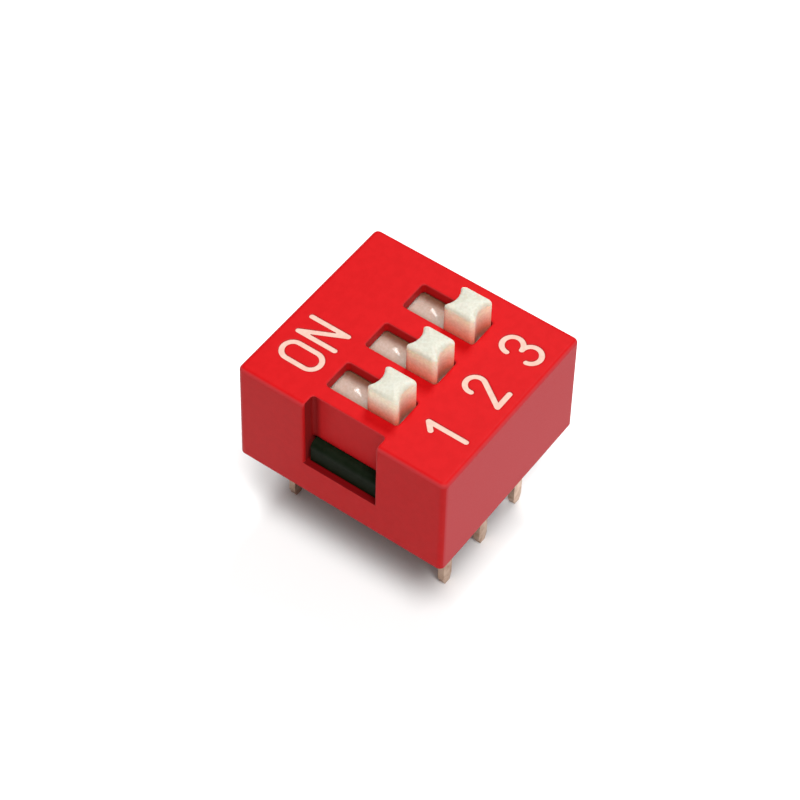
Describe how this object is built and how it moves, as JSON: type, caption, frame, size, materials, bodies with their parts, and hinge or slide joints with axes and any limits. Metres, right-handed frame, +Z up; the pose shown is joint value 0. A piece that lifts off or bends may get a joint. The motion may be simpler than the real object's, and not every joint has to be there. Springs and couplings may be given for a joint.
{
  "type": "slide dip switch",
  "caption": "Slide switch block in a dual in-line case: sliding knobs in slots in the top, numbers and the word ON, and rows of pins below for a printed board.",
  "frame": {"origin": "in the plane of the pin tips, under the middle of the case", "axes": "+Z up out of the top of the case, +X from position 1 to position 3, +Y from the numbers towards the word ON"},
  "size_m": [0.0094, 0.01, 0.0107],
  "materials": {
    "red_cover": "satin moulded red plastic",
    "black_base": "matt moulded black plastic",
    "white_slider": "smooth creamy white plastic",
    "gold_contact": "gold-plated spring strip",
    "terminal_metal": "dull plated copper alloy",
    "legend_ink": "pale filled-in marks"
  },
  "bodies": {
    "housing": {"cover": "red_cover", "base": "black_base", "number_side_terminal_1": "terminal_metal", "on_side_terminal_1": "terminal_metal", "number_side_terminal_2": "terminal_metal", "on_side_terminal_2": "terminal_metal", "number_side_terminal_3": "terminal_metal", "on_side_terminal_3": "terminal_metal", "letter_o": "legend_ink", "letter_n": "legend_ink", "number_1": "legend_ink", "number_2": "legend_ink", "number_3": "legend_ink"},
    "slider_1": {"slider_1": "white_slider", "moving_contact_1": "gold_contact"},
    "slider_2": {"slider_2": "white_slider", "moving_contact_2": "gold_contact"},
    "slider_3": {"slider_3": "white_slider", "moving_contact_3": "gold_contact"}
  },
  "joints": [
    {"name": "slide_1", "type": "slide", "parent": "housing", "child": "slider_1", "axis": [0, 1, 0], "range_m": [0, 0.00187]},
    {"name": "slide_2", "type": "slide", "parent": "housing", "child": "slider_2", "axis": [0, 1, 0], "range_m": [0, 0.00187]},
    {"name": "slide_3", "type": "slide", "parent": "housing", "child": "slider_3", "axis": [0, 1, 0], "range_m": [0, 0.00187]}
  ]
}
